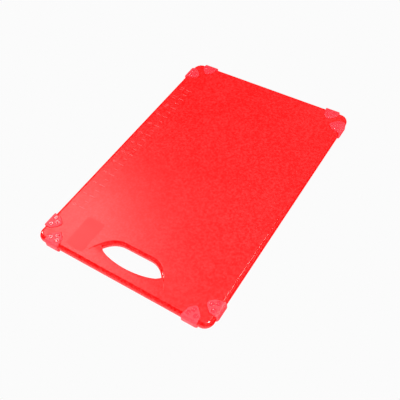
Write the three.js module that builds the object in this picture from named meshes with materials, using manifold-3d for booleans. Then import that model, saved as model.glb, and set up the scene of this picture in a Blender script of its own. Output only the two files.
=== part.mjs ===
// A reversible plastic cutting board with a hand hole at one end and a pair of soft grips at each
// corner. Millimetres, +Z up. The origin is at the middle of the footprint, on the surface that the
// feet stand on. The handle is at the -Y end.
import * as THREE from "three";
import { mergeVertices } from "three/addons/utils/BufferGeometryUtils.js";
import Module from "manifold-3d";

const wasm = await Module();
wasm.setup();

// Board
const boardLength = 457.2;
const boardWidth = 304.8;
const boardThickness = 12.7;
const cornerRadius = 15;
const partingFlat = 0.2; // left between the two half rounds of the edge

// How finely round stretches are faceted
const edgeSegments = 4;
const planSegments = 5;
const gripSegments = 2;
const profileSegments = 2;

// Hand hole: an arch, flat across the middle of its far side, holds a finger ramp on each face. Its
// rim is rounded from its outline on the faces to its waist, both given as the right-hand tip, two
// curve pulls and the end of the flat side.
const archOutline = [[67.4, -208], [57.2, -188.3], [44.5, -171], [22, -171]];
const archWaist = [[62.5, -210.5], [52.3, -190.8], [42.5, -176.5], [22, -176.5]];
const archRadius = 5.5;
const archSegments = 3;
const rampStartY = -208;

// The hole between the ramps has a near rim that bows towards the board's end.
const rimBow = 28; // how far the near rim runs level each way
const rimEndX = 54.5;
const rimEndY = -187.5;
const rimEndPull = -198;
const rampSlope = 0.28;
const overrun = 5; // how far a cutting solid runs past what it cuts

// Raised ruler marks and a raised blank label panel on the top face
const inch = 25.4;
const rulerInches = 12;
const rulerMiddleY = -0.8;
const tickWidth = 1.1;
const tickRise = 0.35;
const inchTick = [-129.3, -118.5];
const halfTick = [-127.7, -120.7];
const labelX = [-103.6, -71];
const labelY = [-216.8, -161.5];
const labelRise = 0.25;
const rootDepth = 1; // how far a raised detail is sunk into the slab to join it

// Grips. A grip's outline is the rounded hull of these circles, each [along the edge towards the
// corner, in from the edge, radius].
const gripCircles = [
  [-10.6, 0, 2],
  [8.6, 2.2, 4.2],
  [5.3, 8.2, 7.4],
  [-0.3, 16.6, 5.4],
  [-3.2, 11.5, 7],
];
const postPlaces = [
  [-5.7, 7.8],
  [-0.6, 15],
  [6.4, 8.2],
];
const endGripFromCorner = 30.8;
const nearSideGripFromCorner = 33.8;
const farSideGripFromCorner = 32;
const gripInset = 1.2; // how deep the grip sits in the board
const gripProud = 1.4; // how far a pad stands above the face
const wrapProud = 2; // how far the wrap stands out from the edge
const wrapRadius = 4.5;
const domeRadius = 3.2;
const domeFlat = 0.9;
const domeRise = 0.9;
const domeSegments = 2;
const postRadius = 2.2;
const postSides = 8;
const gap = 0.3; // clearance between neighbouring solids
const reach = 40; // how far an edge profile runs, in from the edge and each way along it

const boardUnder = gripProud + domeRise;
const boardTop = boardUnder + boardThickness;
const halfLength = boardLength / 2;
const halfWidth = boardWidth / 2;

const weldDistance = 1e-4;

function solidOf(geometry) {
  const bare = geometry.index ? geometry.toNonIndexed() : geometry.clone();
  bare.deleteAttribute("normal");
  bare.deleteAttribute("uv");
  const welded = mergeVertices(bare, weldDistance);
  return new wasm.Manifold(
    new wasm.Mesh({
      numProp: 3,
      vertProperties: welded.attributes.position.array,
      triVerts: new Uint32Array(welded.index.array),
    }),
  );
}

function geometryOf(solid) {
  const mesh = solid.getMesh();
  const geometry = new THREE.BufferGeometry();
  geometry.setAttribute("position", new THREE.BufferAttribute(mesh.vertProperties, mesh.numProp));
  geometry.setIndex(new THREE.BufferAttribute(mesh.triVerts, 1));
  const faceted = geometry.toNonIndexed();
  faceted.computeVertexNormals();
  return faceted;
}

// Extrudes a plan shape upwards between two heights.
function planSolid(shape, low, high, curveSegments = planSegments) {
  const depth = high - low;
  const geometry = new THREE.ExtrudeGeometry(shape, { depth, bevelEnabled: false, curveSegments });
  return solidOf(geometry.translate(0, 0, low));
}

// Extrudes a shape drawn in Y and Z along X, evenly about the middle.
function sideSolid(shape, halfSpan) {
  const options = { depth: 2 * halfSpan, bevelEnabled: false, curveSegments: profileSegments };
  const geometry = new THREE.ExtrudeGeometry(shape, options).translate(0, 0, -halfSpan);
  const turn = new THREE.Matrix4().makeBasis(
    new THREE.Vector3(0, 1, 0),
    new THREE.Vector3(0, 0, 1),
    new THREE.Vector3(1, 0, 0),
  );
  return solidOf(geometry.applyMatrix4(turn));
}

function boxSolid([x0, x1], [y0, y1], [z0, z1]) {
  const geometry = new THREE.BoxGeometry(x1 - x0, y1 - y0, z1 - z0);
  return solidOf(geometry.translate((x0 + x1) / 2, (y0 + y1) / 2, (z0 + z1) / 2));
}

function roundedRectangle(width, length, radius) {
  const x = width / 2 - radius;
  const y = length / 2 - radius;
  const shape = new THREE.Shape();
  shape.absarc(x, y, radius, 0, Math.PI / 2, false);
  shape.absarc(-x, y, radius, Math.PI / 2, Math.PI, false);
  shape.absarc(-x, -y, radius, Math.PI, 1.5 * Math.PI, false);
  shape.absarc(x, -y, radius, 1.5 * Math.PI, 2 * Math.PI, false);
  return shape;
}

// The slab with its whole edge rounded from face to face.
function slabSolid() {
  const edgeRadius = (boardThickness - partingFlat) / 2;
  const geometry = new THREE.ExtrudeGeometry(
    roundedRectangle(boardWidth, boardLength, cornerRadius),
    {
      depth: partingFlat,
      curveSegments: planSegments,
      bevelEnabled: true,
      bevelThickness: edgeRadius,
      bevelSize: edgeRadius,
      bevelOffset: -edgeRadius,
      bevelSegments: edgeSegments,
    },
  );
  return solidOf(geometry.translate(0, 0, boardUnder + edgeRadius));
}

// The arch's outline, spread from its waist (0) to its outline on a face (1), as one ring.
function archRing(spread, height) {
  const [tip, flank, shoulder, flat] = archWaist.map(([x, y], i) => [
    x + spread * (archOutline[i][0] - x),
    y + spread * (archOutline[i][1] - y),
  ]);
  const side = new THREE.CubicBezierCurve(
    new THREE.Vector2(...tip),
    new THREE.Vector2(...flank),
    new THREE.Vector2(...shoulder),
    new THREE.Vector2(...flat),
  );
  const right = side.getPoints(2 * planSegments);
  const left = [...right].reverse().map(({ x, y }) => new THREE.Vector2(-x, y));
  return { points: [...right, ...left], height };
}

// A solid skinned over rings of equally many points, from the lowest ring to the highest.
function skinnedSolid(rings) {
  const count = rings[0].points.length;
  const corners = rings.flatMap(({ points, height }) => points.flatMap(({ x, y }) => [x, y, height]));
  const faces = [];
  for (let ring = 0; ring < rings.length - 1; ring += 1) {
    for (let i = 0; i < count; i += 1) {
      const low = ring * count + i;
      const lowNext = ring * count + ((i + 1) % count);
      faces.push(low, lowNext, lowNext + count, low, lowNext + count, low + count);
    }
  }
  const last = (rings.length - 1) * count;
  for (const [a, b, c] of THREE.ShapeUtils.triangulateShape(rings[0].points, [])) {
    faces.push(c, b, a);
  }
  for (const [a, b, c] of THREE.ShapeUtils.triangulateShape(rings[rings.length - 1].points, [])) {
    faces.push(last + a, last + b, last + c);
  }
  const geometry = new THREE.BufferGeometry();
  geometry.setAttribute("position", new THREE.Float32BufferAttribute(corners, 3));
  geometry.setIndex(faces);
  return solidOf(geometry);
}

function archSolid() {
  const under = [archRing(1, boardUnder - overrun)];
  const top = [archRing(1, boardTop + overrun)];
  for (let i = archSegments; i >= 0; i -= 1) {
    const angle = (i / archSegments) * (Math.PI / 2);
    const drop = archRadius * (1 - Math.sin(angle));
    const spread = 1 - Math.cos(angle);
    under.push(archRing(spread, boardUnder + drop));
    top.unshift(archRing(spread, boardTop - drop));
  }
  return skinnedSolid([...under, ...top]);
}

// One finger ramp: no depth at its start, then sloping down towards the hole.
function rampSolid() {
  const run = archOutline[3][1] - rampStartY + overrun;
  const profile = new THREE.Shape();
  profile.moveTo(rampStartY, boardTop);
  profile.lineTo(rampStartY + run, boardTop - rampSlope * run);
  profile.lineTo(rampStartY + run, boardTop + 1);
  profile.lineTo(rampStartY, boardTop + 1);
  return sideSolid(profile, archOutline[0][0] + overrun).intersect(archSolid());
}

// The part of the arch that runs straight through, past the near rim.
function throughHole() {
  const farY = archOutline[3][1] + overrun;
  const shape = new THREE.Shape();
  shape.moveTo(0, rampStartY);
  shape.bezierCurveTo(rimBow, rampStartY, rimEndX, rimEndPull, rimEndX, rimEndY);
  shape.lineTo(rimEndX, farY);
  shape.lineTo(-rimEndX, farY);
  shape.lineTo(-rimEndX, rimEndY);
  shape.bezierCurveTo(-rimEndX, rimEndPull, -rimBow, rampStartY, 0, rampStartY);
  return planSolid(shape, boardUnder - overrun, boardTop + overrun).intersect(archSolid());
}

// Turns a solid over about the board's middle height, so the underside repeats the top.
function turnedOver(solid) {
  const middle = (boardUnder + boardTop) / 2;
  return solid.translate([0, 0, -middle]).mirror([0, 0, 1]).translate([0, 0, middle]);
}

// The convex outline round a counter-clockwise list of circles, grown by an offset.
function hullShape(circles, offset) {
  const shape = new THREE.Shape();
  const joins = circles.map(([x, y, radius], i) => {
    const [nextX, nextY, nextRadius] = circles[(i + 1) % circles.length];
    const distance = Math.hypot(nextX - x, nextY - y);
    const heading = Math.atan2(nextY - y, nextX - x);
    return heading - Math.acos((radius - nextRadius) / distance);
  });
  circles.forEach(([x, y, radius], i) => {
    const start = joins[(i + circles.length - 1) % circles.length];
    shape.absarc(x, y, radius + offset, start, joins[i], false);
  });
  return shape;
}

function gripOutline(hand, offset) {
  const circles = gripCircles.map(([x, y, radius]) => [hand * x, y, radius]);
  return hullShape(hand > 0 ? circles : circles.reverse(), offset);
}

// A slab profile in Y and Z whose outer end is rounded, running inwards from the edge.
function edgeProfile(outY, low, high, radius) {
  const profile = new THREE.Shape();
  profile.moveTo(reach, low);
  profile.lineTo(reach, high);
  profile.absarc(outY + radius, high - radius, radius, Math.PI / 2, Math.PI, false);
  profile.absarc(outY + radius, low + radius, radius, Math.PI, 1.5 * Math.PI, false);
  return profile;
}

// A post through the board with a dome at each end.
function postSolid(offset) {
  const padUnder = boardUnder - gripProud - offset;
  const padTop = boardTop + gripProud + offset;
  const dome = [];
  for (let i = 0; i <= domeSegments; i += 1) {
    const angle = (i / domeSegments) * (Math.PI / 2);
    const radius = domeFlat + (domeRadius - domeFlat) * Math.sin(angle);
    dome.push([radius, domeRise * Math.cos(angle)]);
  }
  const innerUnder = boardUnder + gripInset / 2;
  const innerTop = boardTop - gripInset / 2;
  const points = [
    [0, padUnder - domeRise],
    ...dome.map(([radius, height]) => [radius, padUnder - height]),
    [domeRadius, innerUnder],
    [postRadius + offset, innerUnder],
    [postRadius + offset, innerTop],
    [domeRadius, innerTop],
    ...dome.reverse().map(([radius, height]) => [radius, padTop + height]),
    [0, padTop + domeRise],
  ];
  const profile = points.map(([x, y]) => new THREE.Vector2(x, y));
  return solidOf(new THREE.LatheGeometry(profile, postSides).rotateX(Math.PI / 2));
}

// One grip in its own frame: X along the edge, Y inwards from the edge, world heights. With an
// offset it grows all round into the tool that cuts its pocket in the board.
function gripSolid(hand, offset = 0) {
  const low = boardUnder - gripProud - offset;
  const high = boardTop + gripProud + offset;
  const block = planSolid(gripOutline(hand, offset), low - 1, high + 1, gripSegments);
  const shell = sideSolid(edgeProfile(-wrapProud - offset, low, high, wrapRadius), reach);
  const inset = gripInset + offset;
  const coreLow = boardUnder + inset;
  const coreHigh = boardTop - inset;
  const coreRadius = (coreHigh - coreLow - partingFlat) / 2;
  const core = sideSolid(edgeProfile(inset, coreLow, coreHigh, coreRadius), reach);
  const post = postSolid(offset);
  return postPlaces.reduce(
    (grip, [x, y]) => grip.add(post.translate([hand * x, y, 0])),
    block.intersect(shell).subtract(core),
  );
}

// Where the grips go. A quarter turn keeps each grip's Y pointing in from its own edge.
const endX = halfWidth - endGripFromCorner;
const nearSideY = nearSideGripFromCorner - halfLength;
const farSideY = halfLength - farSideGripFromCorner;
const gripPlaces = [
  { name: "grip_near_left_end", at: [-endX, -halfLength], turns: 0, hand: -1 },
  { name: "grip_near_right_end", at: [endX, -halfLength], turns: 0, hand: 1 },
  { name: "grip_far_left_end", at: [-endX, halfLength], turns: 2, hand: 1 },
  { name: "grip_far_right_end", at: [endX, halfLength], turns: 2, hand: -1 },
  { name: "grip_near_left_side", at: [-halfWidth, nearSideY], turns: -1, hand: 1 },
  { name: "grip_far_left_side", at: [-halfWidth, farSideY], turns: -1, hand: -1 },
  { name: "grip_near_right_side", at: [halfWidth, nearSideY], turns: 1, hand: -1 },
  { name: "grip_far_right_side", at: [halfWidth, farSideY], turns: 1, hand: 1 },
];

function raisedDetails() {
  const root = boardTop - rootDepth;
  const details = [boxSolid(labelX, labelY, [root, boardTop + labelRise])];
  for (let half = 0; half <= 2 * rulerInches; half += 1) {
    const y = rulerMiddleY + (half - rulerInches) * (inch / 2);
    const span = half % 2 === 0 ? inchTick : halfTick;
    const across = [y - tickWidth / 2, y + tickWidth / 2];
    details.push(boxSolid(span, across, [root, boardTop + tickRise]));
  }
  return details;
}

function boardSolid() {
  const ramp = rampSolid();
  const pockets = { 1: gripSolid(1, gap), "-1": gripSolid(-1, gap) };
  const tools = [ramp.add(turnedOver(ramp)).add(throughHole())];
  gripPlaces.forEach(({ at, turns, hand }) => {
    tools.push(pockets[hand].rotate([0, 0, 90 * turns]).translate([...at, 0]));
  });
  const slab = tools.reduce((board, tool) => board.subtract(tool), slabSolid());
  return raisedDetails().reduce((board, detail) => board.add(detail), slab);
}

function named(name, geometry, color, roughness) {
  const material = new THREE.MeshStandardMaterial({ color, roughness, metalness: 0 });
  const mesh = new THREE.Mesh(geometry, material);
  mesh.name = name;
  return mesh;
}

const group = new THREE.Group();
group.add(named("board", geometryOf(boardSolid()), "#fb1f22", 0.38));

const gripGeometry = { 1: geometryOf(gripSolid(1)), "-1": geometryOf(gripSolid(-1)) };
gripPlaces.forEach(({ name, at, turns, hand }) => {
  const grip = named(name, gripGeometry[hand], "#fb5560", 0.5);
  grip.position.set(...at, 0);
  grip.rotation.z = turns * (Math.PI / 2);
  group.add(grip);
});

export default group;
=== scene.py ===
import math

import bmesh
import bpy
from mathutils import Matrix, Vector


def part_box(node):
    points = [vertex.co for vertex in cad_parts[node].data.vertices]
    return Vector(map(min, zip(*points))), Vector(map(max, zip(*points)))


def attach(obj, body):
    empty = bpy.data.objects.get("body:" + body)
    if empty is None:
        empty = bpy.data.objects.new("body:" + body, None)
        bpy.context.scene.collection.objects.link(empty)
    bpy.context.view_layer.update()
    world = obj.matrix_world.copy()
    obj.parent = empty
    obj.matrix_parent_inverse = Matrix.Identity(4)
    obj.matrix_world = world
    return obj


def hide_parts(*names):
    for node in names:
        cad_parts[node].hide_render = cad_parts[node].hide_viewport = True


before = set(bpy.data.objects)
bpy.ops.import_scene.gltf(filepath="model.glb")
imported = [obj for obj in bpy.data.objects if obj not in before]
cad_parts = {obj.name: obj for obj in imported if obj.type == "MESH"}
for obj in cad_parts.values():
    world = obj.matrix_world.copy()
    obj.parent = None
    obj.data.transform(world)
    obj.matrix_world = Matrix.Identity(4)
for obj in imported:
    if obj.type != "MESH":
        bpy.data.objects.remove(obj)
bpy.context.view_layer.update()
print("frame loaded:", len(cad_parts), "nodes")

mm = 0.001
coarseMerge = 0.01 * mm
fineMerge = 0.002 * mm
# how near the vertical, or the horizontal, a direction has to be
alongAxis = 0.9
acrossAxis = 0.05
boardLow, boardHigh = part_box("board")


def selectNone():
    if bpy.context.object and bpy.context.object.mode != "OBJECT":
        bpy.ops.object.mode_set(mode="OBJECT")
    bpy.ops.object.select_all(action="DESELECT")


def selectOnly(*pieces):
    selectNone()
    for piece in pieces:
        piece.select_set(True)
    bpy.context.view_layer.objects.active = pieces[0]


def settle(piece, name):
    # leaves the object at the origin with its place in its mesh
    selectOnly(piece)
    bpy.ops.object.transform_apply(location=True, rotation=True, scale=True)
    piece.name = name
    piece.data.name = name
    return piece


def editMesh(piece):
    selectOnly(piece)
    bpy.ops.object.mode_set(mode="EDIT")
    bpy.ops.mesh.select_all(action="DESELECT")
    return bmesh.from_edit_mesh(piece.data)


def pickFaces(piece, test):
    mesh = editMesh(piece)
    bpy.ops.mesh.select_mode(type="FACE")
    for face in mesh.faces:
        face.select = test(face)
    mesh.select_flush_mode()
    bmesh.update_edit_mesh(piece.data)


def pickEdges(piece, test):
    mesh = editMesh(piece)
    bpy.ops.mesh.select_mode(type="EDGE")
    for edge in mesh.edges:
        edge.select = test(edge)
    mesh.select_flush_mode()
    bmesh.update_edit_mesh(piece.data)


def endEdit():
    bpy.ops.object.mode_set(mode="OBJECT")


def addBox(low, high, name="box"):
    selectNone()
    low = Vector(low)
    high = Vector(high)
    bpy.ops.mesh.primitive_cube_add(size=1, location=(low + high) / 2)
    bpy.ops.transform.resize(value=high - low)
    return settle(bpy.context.object, name)


def addModifier(piece, kind, **settings):
    selectOnly(piece)
    modifier = piece.modifiers.new(kind.title(), kind)
    for key, value in settings.items():
        setattr(modifier, key, value)
    bpy.ops.object.modifier_apply(modifier=modifier.name)


def boolean(piece, tool, operation, selfJoins=False):
    addModifier(piece, "BOOLEAN", operation=operation, solver="EXACT", use_self=selfJoins, object=tool)
    bpy.data.objects.remove(tool)
    return piece


def joined(pieces, name):
    selectOnly(*pieces)
    if len(pieces) > 1:
        bpy.ops.object.join()
    return settle(bpy.context.object, name)


def mergeAndTurnOut(piece, distance=coarseMerge):
    editMesh(piece)
    bpy.ops.mesh.select_all(action="SELECT")
    bpy.ops.mesh.remove_doubles(threshold=distance)
    bpy.ops.mesh.normals_make_consistent(inside=False)
    if bmesh.from_edit_mesh(piece.data).calc_volume(signed=True) < 0:
        bpy.ops.mesh.flip_normals()
    endEdit()


def isAt(value, target, tolerance=0.02 * mm):
    return abs(value - target) < tolerance


def facesUp(face):
    return face.normal.z > alongAxis


# the more upright of an edge's two faces and the flatter one, or nothing where the edge is hollow
def convexFaces(edge):
    if len(edge.link_faces) != 2 or not edge.is_convex:
        return None
    return sorted(edge.link_faces, key=lambda f: abs(f.normal.z))


def isUpright(face):
    return abs(face.normal.z) < acrossAxis


# a flat plate from a closed Bezier outline; each point is (place, handle before, handle after)
def outlinePlate(points, height, resolution=14):
    selectNone()
    bpy.ops.curve.primitive_bezier_curve_add(location=(0, 0, 0))
    outline = bpy.context.object
    spline = outline.data.splines[0]
    spline.bezier_points.add(len(points) - 2)
    spline.use_cyclic_u = True
    outline.data.dimensions = "3D"
    outline.data.resolution_u = resolution
    for bezierPoint, places in zip(spline.bezier_points, points):
        bezierPoint.handle_left_type = "FREE"
        bezierPoint.handle_right_type = "FREE"
        spot, before, after = [Vector((x * mm, y * mm, height)) for x, y in places]
        bezierPoint.co = spot
        bezierPoint.handle_left = before
        bezierPoint.handle_right = after
    bpy.ops.object.convert(target="MESH")
    plate = bpy.context.object
    editMesh(plate)
    bpy.ops.mesh.select_all(action="SELECT")
    bpy.ops.mesh.remove_doubles(threshold=fineMerge)
    bpy.ops.mesh.edge_face_add()
    return plate


boardSpec = {
    "thickness": 12.7 * mm,
    "cornerRadius": 15 * mm,
    "cornerSteps": 24,
    "edgeRadius": 6.25 * mm,
    "edgeSteps": 12,
    "rimRadius": 5.5 * mm,
    "rimSteps": 10,
    "nearRimRadius": 1.2 * mm,
    "nearRimSteps": 4,
    "nearRimSpan": (-210 * mm, -197 * mm),
    "nearRimLowest": 1 * mm,
    "rampSlope": 0.11,
    "rampStart": -207 * mm,
    "rampBlend": 8 * mm,
    "rampSteps": 5,
    # how far the ramp's cutter runs inwards, back past the crest, sideways, above and off the face
    "wedgeReach": 60 * mm,
    "wedgeBack": 40 * mm,
    "wedgeHalfWidth": 100 * mm,
    "wedgeHeight": 4 * mm,
    "wedgeLift": 0.01 * mm,
    # right half of the ramp's arch at its waist, and how far its rim spreads up to the face
    "archTip": (63.1, -210.5),
    "archFlank": (53.2, -190.8),
    "archShoulder": (42.5, -176.5),
    "archFlat": (22, -176.5),
    "archSpread": (1.09, 1.175),
    # how far the cutters run past the middle plane and the face
    "archPast": (1 * mm, 2 * mm),
    "throughPast": (2 * mm, 5 * mm),
    # half of the hole's near rim
    "rimMiddle": (0, -208),
    "rimBow": (28, -208),
    "rimPull": (55.3, -200),
    "rimEnd": (55.3, -189.5),
    "holeBack": (55.3, -168),
}

width = boardHigh.x - boardLow.x
length = boardHigh.y - boardLow.y
half = boardSpec["thickness"] / 2
middleHeight = boardLow.z + half


def isUprightEdge(edge):
    first, second = edge.verts
    return isAt(first.co.x, second.co.x) and isAt(first.co.y, second.co.y)


# the upper half of the slab, its middle plane at height 0, shrunk all round by some depth
def halfSlab(shrink, name):
    slab = addBox(
        (-width / 2 + shrink, -length / 2 + shrink, 0),
        (width / 2 - shrink, length / 2 - shrink, half - shrink),
        name,
    )
    pickEdges(slab, isUprightEdge)
    bpy.ops.mesh.bevel(
        offset=boardSpec["cornerRadius"] - shrink,
        segments=boardSpec["cornerSteps"],
        affect="EDGES",
    )
    pickEdges(slab, lambda e: all(isAt(v.co.z, half - shrink) for v in e.verts))
    bpy.ops.mesh.bevel(
        offset=boardSpec["edgeRadius"] - shrink,
        segments=boardSpec["edgeSteps"],
        affect="EDGES",
    )
    endEdit()
    return slab


def mirrored(points):
    # the same outline points on the left, walked the other way, with their handles swapped
    flipped = [tuple((-x, y) for x, y in places) for places in reversed(points)]
    return [(spot, after, before) for spot, before, after in flipped]


# the arch as a cutter that widens towards the face, so that it leaves a rounded rim
def archCutter():
    spec = boardSpec
    tip, flank, shoulder, flat = [
        spec[key] for key in ("archTip", "archFlank", "archShoulder", "archFlat")
    ]
    beyond = (2 * tip[0] - flank[0], 2 * tip[1] - flank[1])
    right = [(beyond, beyond, beyond), (tip, tip, flank), (flat, shoulder, flat)]
    below, above = spec["archPast"]
    cutter = outlinePlate(right + mirrored(right), -below)
    radius, steps = spec["rimRadius"], spec["rimSteps"]
    centre = (0, spec["rampStart"], 0)

    def extrude(rise):
        bpy.ops.mesh.extrude_region_move(TRANSFORM_OT_translate={"value": (0, 0, rise)})

    extrude(half - radius + below)
    grown = (1, 1)
    for i in range(1, steps + 1):
        before, after = (i - 1) / steps * math.pi / 2, i / steps * math.pi / 2
        extrude(radius * (math.sin(after) - math.sin(before)))
        size = [1 + (spread - 1) * (1 - math.cos(after)) for spread in spec["archSpread"]]
        bpy.ops.transform.resize(
            value=(size[0] / grown[0], size[1] / grown[1], 1), center_override=centre
        )
        grown = size
    extrude(above)
    endEdit()
    mergeAndTurnOut(cutter)
    return cutter


# everything above the ramp's floor, with a soft crest where the floor meets the face
def rampWedge():
    spec = boardSpec
    start, reach, side = spec["rampStart"], spec["wedgeReach"], spec["wedgeHalfWidth"]
    high = half + spec["wedgeHeight"]
    wedge = addBox((-side, start, half), (side, start + reach, high), "ramp_wedge")
    pickEdges(wedge, lambda e: all(isAt(v.co.z, half) and v.co.y > start + reach / 2 for v in e.verts))
    bpy.ops.transform.translate(value=(0, 0, -spec["rampSlope"] * reach))
    pickFaces(wedge, lambda f: f.normal.y < -alongAxis)
    bpy.ops.mesh.extrude_region_move(TRANSFORM_OT_translate={"value": (0, -spec["wedgeBack"], 0)})
    pickEdges(wedge, lambda e: all(isAt(v.co.z, half) and isAt(v.co.y, start) for v in e.verts))
    bpy.ops.mesh.bevel(offset=spec["rampBlend"], segments=spec["rampSteps"], affect="EDGES")
    bpy.ops.mesh.select_all(action="SELECT")
    bpy.ops.transform.translate(value=(0, 0, spec["wedgeLift"]))
    endEdit()
    mergeAndTurnOut(wedge)
    return wedge


# the hole itself: the part of the arch past the near rim
def throughCutter():
    middle, bow, pull, end, back = [
        boardSpec[key] for key in ("rimMiddle", "rimBow", "rimPull", "rimEnd", "holeBack")
    ]
    right = [(end, pull, end), (back, back, back)]
    points = [(middle, (-bow[0], bow[1]), bow)] + right + mirrored(right)
    below, above = boardSpec["throughPast"]
    plate = outlinePlate(points, -below)
    bpy.ops.mesh.extrude_region_move(TRANSFORM_OT_translate={"value": (0, 0, below + half + above)})
    endEdit()
    mergeAndTurnOut(plate)
    return plate


def isNearRim(edge):
    faces = convexFaces(edge)
    start, end = boardSpec["nearRimSpan"]
    middle = (edge.verts[0].co + edge.verts[1].co) / 2
    if not faces or not start < middle.y < end or middle.z < boardSpec["nearRimLowest"]:
        return False
    return isUpright(faces[0]) and facesUp(faces[1])


def makeBoardHalf():
    slab = halfSlab(0, "board_half")
    rampAndHole = boolean(rampWedge(), throughCutter(), "UNION")
    cutter = boolean(archCutter(), rampAndHole, "INTERSECT")
    boolean(slab, cutter, "DIFFERENCE")
    pickEdges(slab, isNearRim)
    bpy.ops.mesh.bevel(
        offset=boardSpec["nearRimRadius"],
        segments=boardSpec["nearRimSteps"],
        affect="EDGES",
    )
    endEdit()
    return slab


# Grips, modelled by their upper half in a frame of their own: X along the board's edge with the
# corner on the +X side, Y inwards from the edge, height 0 at the board's middle plane
gripSpec = {
    # the outline is the rounded hull of these circles: along the edge, inwards, radius
    "circles": [(-10.6, 0, 2), (8.6, 2.2, 4.2), (5.3, 8.2, 7.4), (-0.3, 16.6, 5.4), (-3.2, 11.5, 7)],
    "circleSides": 72,
    # faces of the hull that differ by less than this count as one
    "flatAngle": 0.0005,
    "inset": 1.2 * mm,
    "padProud": 1.4 * mm,
    "wrapProud": 2 * mm,
    "wrapRadius": 4.5 * mm,
    "wrapSteps": 10,
    "barHalfLength": 60 * mm,
    "barDrop": 2 * mm,
    "coreGap": 0.1 * mm,
    "coreSteps": 12,
    "softEdge": 0.55 * mm,
    "softSteps": 4,
    "softEdgeAngle": 0.4,
    "softEdgeLift": 0.3,
    "hullPast": 1 * mm,
    "pocketGap": 0.6 * mm,
    # how far a pocket's cutter runs past the middle plane and the face
    "pocketPast": (1 * mm, 3 * mm),
    "domes": [(-5.7, 7.8), (-0.6, 15), (6.4, 8.2)],
    "buttonSides": 40,
    "buttonRoot": 0.6 * mm,
    "buttonSink": 0.32 * mm,
    # a button's profile from its foot to its dimpled middle: radius, height
    "buttonProfile": [
        (3.8, 0), (3.65, 0.2), (3.45, 0.5), (3.2, 0.75), (2.95, 0.87), (2.7, 0.9),
        (1.8, 0.9), (1.5, 0.85), (1.2, 0.72), (0.8, 0.64), (0.35, 0.62),
    ],
    "fromCornerOnEnd": 30.8 * mm,
    "fromNearCorner": 33.8 * mm,
    "fromFarCorner": 32 * mm,
}


def outlineHull(grow, low, high):
    discs = []
    for x, y, radius in gripSpec["circles"]:
        selectNone()
        bpy.ops.mesh.primitive_cylinder_add(
            vertices=gripSpec["circleSides"],
            radius=radius * mm + grow,
            depth=high - low,
            location=(x * mm, y * mm, (low + high) / 2),
        )
        discs.append(bpy.context.object)
    hull = joined(discs, "outline_hull")
    editMesh(hull)
    bpy.ops.mesh.select_all(action="SELECT")
    bpy.ops.mesh.convex_hull(use_existing_faces=False)
    bpy.ops.mesh.select_all(action="SELECT")
    bpy.ops.mesh.dissolve_limited(angle_limit=gripSpec["flatAngle"])
    endEdit()
    mergeAndTurnOut(hull, fineMerge / 2)
    return hull


# a bar that runs along the board's edge, its outer upper edge rounded
def edgeBar(outer, high, radius, segments):
    reach, drop = gripSpec["barHalfLength"], gripSpec["barDrop"]
    bar = addBox((-reach, outer, -drop), (reach, reach, high), "edge_bar")
    pickEdges(bar, lambda e: all(isAt(v.co.y, outer) and isAt(v.co.z, high) for v in e.verts))
    bpy.ops.mesh.bevel(offset=radius, segments=segments, affect="EDGES")
    endEdit()
    return bar


def coreBar(inset):
    radius = half - inset - gripSpec["coreGap"]
    return edgeBar(inset, half - inset, radius, gripSpec["coreSteps"])


def makeButton(x, y, foot):
    profile = [(radius * mm, height * mm) for radius, height in gripSpec["buttonProfile"]]
    size, reached = profile[0]
    selectNone()
    bpy.ops.mesh.primitive_cylinder_add(
        vertices=gripSpec["buttonSides"],
        radius=size,
        depth=gripSpec["buttonRoot"],
        location=(x * mm, y * mm, foot - gripSpec["buttonSink"]),
    )
    button = bpy.context.object
    pickFaces(button, facesUp)
    for nextSize, height in profile[1:]:
        bpy.ops.mesh.extrude_region_move(TRANSFORM_OT_translate={"value": (0, 0, height - reached)})
        bpy.ops.transform.resize(
            value=(nextSize / size, nextSize / size, 1), center_override=(x * mm, y * mm, 0)
        )
        size, reached = nextSize, height
    endEdit()
    return settle(button, "button")


def isPadRim(edge):
    faces = convexFaces(edge)
    if not faces or edge.calc_face_angle() < gripSpec["softEdgeAngle"]:
        return False
    return isUpright(faces[0]) and faces[1].normal.z > gripSpec["softEdgeLift"]


def makeGrip():
    spec = gripSpec
    top = half + spec["padProud"]
    grip = outlineHull(0, 0, top + spec["hullPast"])
    wrap = edgeBar(-spec["wrapProud"], top, spec["wrapRadius"], spec["wrapSteps"])
    boolean(grip, wrap, "INTERSECT")
    pickEdges(grip, isPadRim)
    bpy.ops.mesh.bevel(offset=spec["softEdge"], segments=spec["softSteps"], affect="EDGES")
    endEdit()
    boolean(grip, coreBar(spec["inset"]), "DIFFERENCE")
    for x, y in spec["domes"]:
        boolean(grip, makeButton(x, y, top), "UNION")
    return mirroredDown(grip)


# adds the lower half of a piece by mirroring it through the board's middle plane
def mirroredDown(piece):
    pickFaces(piece, lambda f: abs(f.normal.z) > alongAxis and all(isAt(v.co.z, 0) for v in f.verts))
    bpy.ops.mesh.delete(type="FACE")
    endEdit()
    addModifier(piece, "MIRROR", use_axis=(False, False, True), use_clip=True, merge_threshold=coarseMerge)
    mergeAndTurnOut(piece, fineMerge)
    return piece


# name, side of the board that the edge is on, place along that edge, turn, handedness
endX = width / 2 - gripSpec["fromCornerOnEnd"]
nearY = gripSpec["fromNearCorner"] - length / 2
farY = length / 2 - gripSpec["fromFarCorner"]
gripPlaces = [
    ("grip_near_left_end", (-endX, -length / 2), 0, -1),
    ("grip_near_right_end", (endX, -length / 2), 0, 1),
    ("grip_far_left_end", (-endX, length / 2), 2, 1),
    ("grip_far_right_end", (endX, length / 2), 2, -1),
    ("grip_near_left_side", (-width / 2, nearY), -1, 1),
    ("grip_far_left_side", (-width / 2, farY), -1, -1),
    ("grip_near_right_side", (width / 2, nearY), 1, -1),
    ("grip_far_right_side", (width / 2, farY), 1, 1),
]


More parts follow.
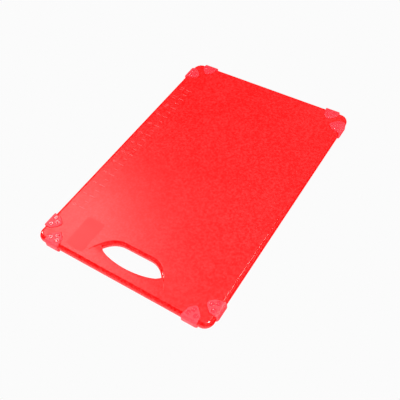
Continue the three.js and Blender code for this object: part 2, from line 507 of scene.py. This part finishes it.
def placedCopy(source, name, place, turns, hand, height):
    selectOnly(source)
    bpy.ops.object.duplicate(linked=False)
    copy = bpy.context.object
    copy.scale = (hand, 1, 1)
    copy.rotation_euler = (0, 0, turns * math.pi / 2)
    copy.location = (place[0], place[1], height)
    settle(copy, name)
    mergeAndTurnOut(copy, fineMerge)
    return copy


def cutPockets(slab):
    gap = gripSpec["pocketGap"]
    below, above = gripSpec["pocketPast"]
    pocket = outlineHull(gap, -below, half + above)
    boolean(pocket, coreBar(gripSpec["inset"] + gap), "DIFFERENCE")
    pockets = [placedCopy(pocket, "pocket", at, turns, hand, 0) for name, at, turns, hand in gripPlaces]
    bpy.data.objects.remove(pocket)
    boolean(slab, joined(pockets, "pockets"), "DIFFERENCE")


# Raised marks on the top face: inch and centimetre rulers and a blank label panel
markSpec = {
    "middleY": -0.8 * mm,
    "inches": 12,
    "inch": 25.4 * mm,
    "inchTick": (-129.3 * mm, -118.5 * mm),
    "halfTick": (-127.7 * mm, -120.7 * mm),
    "tickWidth": 1.1 * mm,
    "tickRise": 0.35 * mm,
    "tickCorner": 0.5 * mm,
    "tickSoftness": 0.2 * mm,
    "numeralX": -138.2 * mm,
    "numeralHeight": 7.4 * mm,
    "typeSizeForHeight": 1.35,
    "numeralRise": 0.3 * mm,
    "label": ((-103.6 * mm, -216.8 * mm), (-71 * mm, -161.5 * mm)),
    "labelCorner": 1.5 * mm,
    "labelRise": 0.15 * mm,
    "labelSoftness": 0.1 * mm,
    "centimetres": 30,
    "centimetre": 10 * mm,
    "fineTicksEach": 5,
    "centimetreTick": (127.6 * mm, 133 * mm),
    "millimetreTick": (127.6 * mm, 129.6 * mm),
    "fineRise": 0.06 * mm,
    "fineWidth": 0.5 * mm,
    "fineCorner": 0.1 * mm,
    "fineSoftness": 0.03 * mm,
    "fineNumeralX": 139.5 * mm,
    "fineNumeralHeight": 5 * mm,
    "root": 0.5 * mm,
    "cornerSteps": 4,
    "softSteps": 2,
    "numeralSteps": 3,
}


# a low ridge with soft edges, standing on the face
def makeRidge(low, high, rise, corner, softness):
    ridge = addBox((low[0], low[1], half - markSpec["root"]), (high[0], high[1], half + rise), "ridge")
    pickEdges(ridge, lambda e: abs(e.verts[0].co.z - e.verts[1].co.z) > rise / 2)
    bpy.ops.mesh.bevel(offset=corner, segments=markSpec["cornerSteps"], affect="EDGES")
    pickEdges(ridge, lambda e: all(isAt(v.co.z, half + rise, fineMerge) for v in e.verts))
    bpy.ops.mesh.bevel(offset=softness, segments=markSpec["softSteps"], affect="EDGES")
    endEdit()
    return ridge


def ridgeCopies(source, places):
    copies = []
    for y in places:
        selectOnly(source)
        bpy.ops.object.duplicate(linked=False)
        copy = bpy.context.object
        copy.location.y = y
        copies.append(settle(copy, "tick"))
    bpy.data.objects.remove(source)
    return copies


def makeNumeral(text, x, y, tall, rise, turn):
    selectNone()
    bpy.ops.object.text_add()
    numeral = bpy.context.object
    numeral.data.body = text
    numeral.data.size = tall * markSpec["typeSizeForHeight"]
    numeral.data.align_x = "CENTER"
    numeral.data.extrude = (rise + markSpec["root"]) / 2
    numeral.data.resolution_u = markSpec["numeralSteps"]
    bpy.ops.object.convert(target="MESH")
    numeral = bpy.context.object
    mergeAndTurnOut(numeral, fineMerge)
    bpy.ops.object.origin_set(type="ORIGIN_GEOMETRY", center="BOUNDS")
    numeral.rotation_euler = (0, 0, turn)
    numeral.location = (x, y, half + (rise - markSpec["root"]) / 2)
    return settle(numeral, "numeral")


# tick marks that run across a ruler, from one end of the span to the other
def addTicks(span, places, wide, rise, corner, softness):
    tick = makeRidge((span[0], -wide / 2), (span[1], wide / 2), rise, corner, softness)
    return ridgeCopies(tick, places)


def makeInchRuler():
    spec = markSpec
    count, inch = spec["inches"], spec["inch"]
    places = [spec["middleY"] + (i - count / 2) * inch for i in range(count + 1)]
    shape = [spec[key] for key in ("tickWidth", "tickRise", "tickCorner", "tickSoftness")]
    marks = addTicks(spec["inchTick"], places, *shape)
    marks += addTicks(spec["halfTick"], [y + inch / 2 for y in places[:-1]], *shape)
    tall, rise = spec["numeralHeight"], spec["numeralRise"]
    for number, y in enumerate(places):
        marks.append(makeNumeral(str(number), spec["numeralX"], y, tall, rise, math.pi / 2))
    return marks


def makeCentimetreRuler():
    spec = markSpec
    count, step, each = spec["centimetres"], spec["centimetre"], spec["fineTicksEach"]
    start = spec["middleY"] - count / 2 * step
    shape = [spec[key] for key in ("fineWidth", "fineRise", "fineCorner", "fineSoftness")]
    marks = addTicks(spec["centimetreTick"], [start + i * step for i in range(count + 1)], *shape)
    between = [start + i * step / each for i in range(each * count) if i % each]
    marks += addTicks(spec["millimetreTick"], between, *shape)
    tall, rise = spec["fineNumeralHeight"], spec["fineRise"]
    for i in range(0, count + 1, 2):
        y = start + i * step
        marks.append(makeNumeral(str(i), spec["fineNumeralX"], y, tall, rise, -math.pi / 2))
    return marks


def makeMarks():
    spec = markSpec
    marks = joined(makeInchRuler() + makeCentimetreRuler(), "marks")
    label = makeRidge(*spec["label"], spec["labelRise"], spec["labelCorner"], spec["labelSoftness"])
    return boolean(marks, label, "UNION", selfJoins=True)


shadingSpec = {"boardDegrees": 40, "gripDegrees": 50, "faceWeight": 80}


def finishShading(piece, degrees):
    selectOnly(piece)
    bpy.ops.object.shade_smooth_by_angle(angle=math.radians(degrees))
    addModifier(piece, "WEIGHTED_NORMAL", keep_sharp=True, weight=shadingSpec["faceWeight"])


def makeBoard():
    piece = makeBoardHalf()
    cutPockets(piece)
    mirroredDown(piece)
    boolean(piece, makeMarks(), "UNION")
    piece.location.z = middleHeight
    settle(piece, "cutting_board")
    finishShading(piece, shadingSpec["boardDegrees"])
    return piece


board = makeBoard()
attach(board, "root")
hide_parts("board")
print("board:", len(board.data.polygons), "faces")

gripModel = makeGrip()
grips = []
for name, at, turns, hand in gripPlaces:
    grip = placedCopy(gripModel, "soft_" + name, at, turns, hand, middleHeight)
    finishShading(grip, shadingSpec["gripDegrees"])
    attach(grip, "root")
    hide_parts(name)
    grips.append(grip)
bpy.data.objects.remove(gripModel)
print("grips:", len(grips), "of", len(grips[0].data.polygons), "faces")


# Shader maths: a wrapped socket that adds Math nodes as it is used in an expression
class Shade:
    def __init__(self, tree, socket):
        self.tree = tree
        self.socket = socket

    # any node: its settings come first, then the values or links of its sockets
    @staticmethod
    def node(tree, kind, settings=None, inputs=None, output=0):
        node = tree.nodes.new("ShaderNode" + kind)
        for key, value in (settings or {}).items():
            if key == "stops":
                Shade.setStops(node.color_ramp, value)
            else:
                setattr(node, key, value)
        for key, value in (inputs or {}).items():
            Shade.feed(tree, node.inputs[key], value)
        return Shade(tree, node.outputs[output])

    @staticmethod
    def setStops(ramp, levels):
        ramp.elements.remove(ramp.elements[1])
        for spot, level in levels:
            stop = ramp.elements.new(spot) if spot > 0 else ramp.elements[0]
            stop.color = (level, level, level, 1)

    @staticmethod
    def feed(tree, place, value):
        if isinstance(value, Shade):
            tree.links.new(value.socket, place)
        else:
            place.default_value = value

    def maths(self, operation, *others):
        inputs = dict(enumerate((self,) + others))
        return Shade.node(self.tree, "Math", {"operation": operation}, inputs)

    def __add__(self, other):
        return self.maths("ADD", other)

    __radd__ = __add__

    def __mul__(self, other):
        return self.maths("MULTIPLY", other)

    __rmul__ = __mul__

    def __sub__(self, other):
        return self.maths("SUBTRACT", other)

    def __rsub__(self, other):
        return (self * -1) + other

    def clamped(self):
        return self.maths("MINIMUM", 1).maths("MAXIMUM", 0)

    # a noise, which lies around a half, shifted to lie around 0
    def centred(self):
        return self - 0.5

    # 0 up to the first limit, 1 from the second one on
    def ramp(self, low, high):
        return ((self - low) * (1 / (high - low))).clamped()


def startMaterial(name):
    material = bpy.data.materials.new(name)
    material.use_nodes = True
    tree = material.node_tree
    shader = tree.nodes["Principled BSDF"]
    spot = Shade.node(tree, "TexCoord", output="Object")
    return material, tree, shader, spot


# a Mix node's colour sockets go by their places: 0, 6 and 7, and 2 for its output
def mixColours(tree, factor, first, second):
    inputs = {0: factor, 6: first, 7: second}
    return Shade.node(tree, "Mix", {"data_type": "RGBA"}, inputs, 2)


def noiseAt(tree, spot, scale, detail=2, roughness=0.5, stretch=(1, 1, 1)):
    place = Shade.node(tree, "Mapping", inputs={"Vector": spot, "Scale": stretch})
    inputs = {"Vector": place, "Scale": scale, "Detail": detail, "Roughness": roughness}
    return Shade.node(tree, "TexNoise", inputs=inputs)


def bumpFrom(tree, height, strength, distance):
    inputs = {"Height": height, "Strength": strength, "Distance": distance}
    return Shade.node(tree, "Bump", inputs=inputs)


def axisOf(tree, spot, axis):
    return Shade.node(tree, "SeparateXYZ", inputs={"Vector": spot}, output=axis)


plasticSpec = {
    "deepRed": (0.95, 0.0001, 0.0006, 1),
    "paleRed": (0.98, 0.02, 0.021, 1),
    # painted highlight: the raised ticks and numerals are made paler in place of the light their slopes
    # catch
    "markHighlightRed": (1, 0.075, 0.08, 1),
    "markHighlightStrength": 0.8,
    "labelRed": (0.95, 0.001, 0.002, 1),
    "roughness": 0.34,
    "edgeRoughness": 0.11,
    "labelRoughness": 0.035,
    "cloudScale": 14,
    "scuffScale": 45,
    "scuffStretch": (1, 9, 1),
    "rippleScale": 70,
    "mottleScale": 300,
    "grainScale": 1300,
    "mottleContrast": 3.2,
    "cloudContrast": 0.5,
    "palest": 0.3,
    "scuffing": 0.12,
    "graining": 0.1,
    "grainRelief": 0.6,
    "rippleRelief": 0.5,
    # share of the grain's relief that the smooth edges keep
    "edgeRelief": 0.2,
    "bumpStrength": 0.2,
    "bumpDepth": 0.2 * mm,
    "ior": 1.5,
    # heights above the face between which the panel, and then a raised tick or numeral with its painted
    # highlight, begins
    "labelFoot": (0.09 * mm, 0.13 * mm),
    "labelTop": (0.16 * mm, 0.18 * mm),
    "markFoot": (0.16 * mm, 0.22 * mm),
    # depths below the face, or off the ramp, over which the grain gives way to the smoother edges
    "faceFade": (0.03 * mm, 0.15 * mm),
    "crestFade": (0.22 * mm, 0.3 * mm),
    "rampFade": (0.22 * mm, 0.35 * mm),
    "crestReach": (9 * mm, 10 * mm),
}


# 1 on the flat faces and the ramps, which have a fine grain, and 0 on the smoother rounded edges
def grainedPart(tree, spot, rise):
    spec = plasticSpec
    depth = half - rise.maths("ABSOLUTE")
    along = axisOf(tree, spot, "Y") - boardSpec["rampStart"]
    offRamp = (depth - along * boardSpec["rampSlope"]).maths("ABSOLUTE")
    offCrest = along.maths("ABSOLUTE").ramp(*spec["crestReach"]) + depth.ramp(*spec["crestFade"])
    offRamp = offRamp.ramp(*spec["rampFade"]).maths("MINIMUM", offCrest)
    return 1 - depth.ramp(*spec["faceFade"]).maths("MINIMUM", offRamp)


def makePlastic():
    spec = plasticSpec
    material, tree, shader, spot = startMaterial("red_plastic")
    cloud = noiseAt(tree, spot, spec["cloudScale"], detail=3)
    mottle = noiseAt(tree, spot, spec["mottleScale"], detail=3, roughness=0.6)
    grain = noiseAt(tree, spot, spec["grainScale"], detail=3, roughness=0.6)
    ripple = noiseAt(tree, spot, spec["rippleScale"])
    stretch = spec["scuffStretch"]
    scuff = noiseAt(tree, spot, spec["scuffScale"], detail=6, roughness=0.7, stretch=stretch)
    rise = axisOf(tree, spot, "Z") - middleHeight
    height = rise - half
    # mask of the raised ticks and numerals, which carry a painted highlight
    markHighlight = height.ramp(*spec["markFoot"])
    label = (height.ramp(*spec["labelFoot"]) - height.ramp(*spec["labelTop"])).clamped()
    face = grainedPart(tree, spot, rise)
    mottled = mottle.centred() * spec["mottleContrast"]
    clouded = cloud.centred() * spec["cloudContrast"]
    pale = (mottled + clouded + spec["palest"]).clamped()
    colour = mixColours(tree, pale, spec["deepRed"], spec["paleRed"])
    colour = mixColours(tree, label, colour, spec["labelRed"])
    # painted highlight: the raised ticks and numerals are mixed towards a paler red
    colour = mixColours(tree, markHighlight * spec["markHighlightStrength"], colour, spec["markHighlightRed"])
    Shade.feed(tree, shader.inputs["Base Color"], colour)
    worn = scuff.centred() * spec["scuffing"] + grain.centred() * spec["graining"]
    textured = face * (spec["roughness"] - spec["edgeRoughness"])
    rough = worn + label * spec["labelRoughness"] + textured + spec["edgeRoughness"]
    Shade.feed(tree, shader.inputs["Roughness"], rough)
    share = face * (1 - spec["edgeRelief"]) + spec["edgeRelief"]
    relief = (grain * spec["grainRelief"] + mottle) * share + ripple * spec["rippleRelief"]
    bump = bumpFrom(tree, relief, spec["bumpStrength"], spec["bumpDepth"])
    Shade.feed(tree, shader.inputs["Normal"], bump)
    shader.inputs["IOR"].default_value = spec["ior"]
    return material


elastomerSpec = {
    "pale": (0.94, 0.034, 0.052, 1),
    "deep": (0.91, 0.016, 0.03, 1),
    "roughness": 0.5,
    "unevenness": 0.2,
    "buttonRoughness": 0.13,
    # heights past the board's faces between which a button begins
    "buttonFoot": (1.6 * mm, 1.9 * mm),
    "mottleScale": 210,
    "grainScale": 2200,
    "bumpStrength": 0.06,
    "bumpDepth": 0.2 * mm,
    "ior": 1.65,
    "glow": 0.25,
    "glowReach": (4 * mm, 0.8 * mm, 0.8 * mm),
}


def makeElastomer():
    spec = elastomerSpec
    material, tree, shader, spot = startMaterial("soft_elastomer")
    mottle = noiseAt(tree, spot, spec["mottleScale"], detail=3, roughness=0.6)
    grain = noiseAt(tree, spot, spec["grainScale"])
    colour = mixColours(tree, mottle, spec["pale"], spec["deep"])
    Shade.feed(tree, shader.inputs["Base Color"], colour)
    # the buttons are smoother than the pads they stand on, above and below the board
    level = (axisOf(tree, spot, "Z") - middleHeight).maths("ABSOLUTE")
    low, high = spec["buttonFoot"]
    button = level.ramp(half + low, half + high)
    rough = mottle.centred() * spec["unevenness"] + spec["roughness"]
    smooth = button * (spec["buttonRoughness"] - spec["roughness"])
    Shade.feed(tree, shader.inputs["Roughness"], rough + smooth)
    bump = bumpFrom(tree, grain + mottle, spec["bumpStrength"], spec["bumpDepth"])
    Shade.feed(tree, shader.inputs["Normal"], bump)
    shader.inputs["IOR"].default_value = spec["ior"]
    shader.inputs["Subsurface Weight"].default_value = spec["glow"]
    shader.inputs["Subsurface Radius"].default_value = spec["glowReach"]
    shader.inputs["Subsurface Scale"].default_value = 1
    return material


board.data.materials.clear()
board.data.materials.append(makePlastic())
elastomer = makeElastomer()
for grip in grips:
    grip.data.materials.clear()
    grip.data.materials.append(elastomer)
print("materials done")


roomSpec = {
    "floorSize": 12,
    "floorGlow": 0.965,
    # brightness of the room above, by how far a direction leans towards the far right
    "skyLean": (0.42, 0.42, 0.8),
    "skyStops": [
        (0, 0.01), (0.5, 0.02), (0.59, 0.05), (0.63, 0.18), (0.67, 0.3), (0.75, 0.38), (1, 0.3),
    ],
    # and of the pale table and wall in front of the board, as its edges reflect them
    "tableLean": (0, -0.75, -0.66),
    "tableStops": [(0, 0), (0.4, 0), (0.7, 0.9), (1, 1)],
    "tableGlow": 1.4,
    # large soft lights from the front, the front corners and the right that only light, and are not
    # themselves reflected
    "fillPlaces": [(-1.5, -1.4, 1), (1.6, -1.4, 1), (1.7, 0.2, 0.9), (-0.2, -1.9, 0.9)],
    "fillSize": 1.6,
    "fillPower": 26,
    # each softbox: place, point it faces, width, height, power
    "softboxes": [
        ((-0.93, 0.38, 1.33), (-0.09, -0.19, 0), 0.28, 0.42, 4.2),
        ((0.4, 0.35, 1.3), (0.4, 0, 0), 0.07, 0.7, 2.2),
        ((0.56, -0.13, 1.32), (0.14, -0.21, 0), 0.46, 0.2, 11),
        ((-1.3, -0.15, 0.62), (0, -0.15, 0), 0.3, 0.14, 6),
    ],
}


def aimed(place, target):
    return (Vector(target) - Vector(place)).to_track_quat("-Z", "Y")


def addSoftbox(place, target, wide, tall, power):
    bpy.ops.object.light_add(type="AREA", location=place)
    light = bpy.context.object
    light.data.shape = "RECTANGLE"
    light.data.size = wide
    light.data.size_y = tall
    light.data.energy = power
    light.rotation_mode = "QUATERNION"
    light.rotation_quaternion = aimed(place, target)
    return light


def makeFloor():
    selectNone()
    bpy.ops.mesh.primitive_plane_add(size=roomSpec["floorSize"], location=(0, 0, 0))
    floor = settle(bpy.context.object, "floor")
    material = bpy.data.materials.new("pale_floor")
    material.use_nodes = True
    shader = material.node_tree.nodes["Principled BSDF"]
    shader.inputs["Base Color"].default_value = (0, 0, 0, 1)
    shader.inputs["Roughness"].default_value = 1
    shader.inputs["Specular IOR Level"].default_value = 0
    shader.inputs["Emission Color"].default_value = (1, 1, 1, 1)
    shader.inputs["Emission Strength"].default_value = roomSpec["floorGlow"]
    floor.data.materials.append(material)
    floor.visible_glossy = False


# light by direction: how far it leans towards the given one, through a ramp of levels
def leaningLight(tree, direction, lean, stops):
    inputs = {0: direction, 1: lean}
    height = Shade.node(tree, "VectorMath", {"operation": "DOT_PRODUCT"}, inputs, "Value")
    return Shade.node(tree, "ValToRGB", {"stops": stops}, {"Fac": height})


def makeWorld():
    spec = roomSpec
    world = bpy.data.worlds.new("studio")
    world.use_nodes = True
    tree = world.node_tree
    direction = Shade.node(tree, "TexCoord", output="Generated")
    sky = leaningLight(tree, direction, spec["skyLean"], spec["skyStops"])
    table = leaningLight(tree, direction, spec["tableLean"], spec["tableStops"])
    level = sky + table * spec["tableGlow"]
    Shade.feed(tree, tree.nodes["Background"].inputs["Color"], level)
    bpy.context.scene.world = world


def makeRoom():
    spec = roomSpec
    makeFloor()
    for softbox in spec["softboxes"]:
        addSoftbox(*softbox)
    for place in spec["fillPlaces"]:
        fill = addSoftbox(place, (0, 0, 0), spec["fillSize"], spec["fillSize"], spec["fillPower"])
        fill.visible_glossy = False
    makeWorld()
    bpy.context.scene.view_settings.view_transform = "Standard"


cameraSpec = {
    "place": (0.3643, -0.5085, 0.7283),
    "aim": (0.0243, -0.0462, 0.0087),
    "roll": 5.25,
    "lens": 53.44,
    "sensor": 36,
    "nearest": 0.01,
}


def makeCamera():
    spec = cameraSpec
    bpy.ops.object.camera_add(location=spec["place"])
    camera = bpy.context.object
    camera.data.lens = spec["lens"]
    camera.data.sensor_width = spec["sensor"]
    camera.data.clip_start = spec["nearest"]
    turn = aimed(spec["place"], spec["aim"]).to_matrix().to_4x4()
    roll = Matrix.Rotation(math.radians(-spec["roll"]), 4, "Z")
    camera.rotation_euler = (turn @ roll).to_euler()
    bpy.context.scene.camera = camera


makeRoom()
makeCamera()
print("room and camera done")
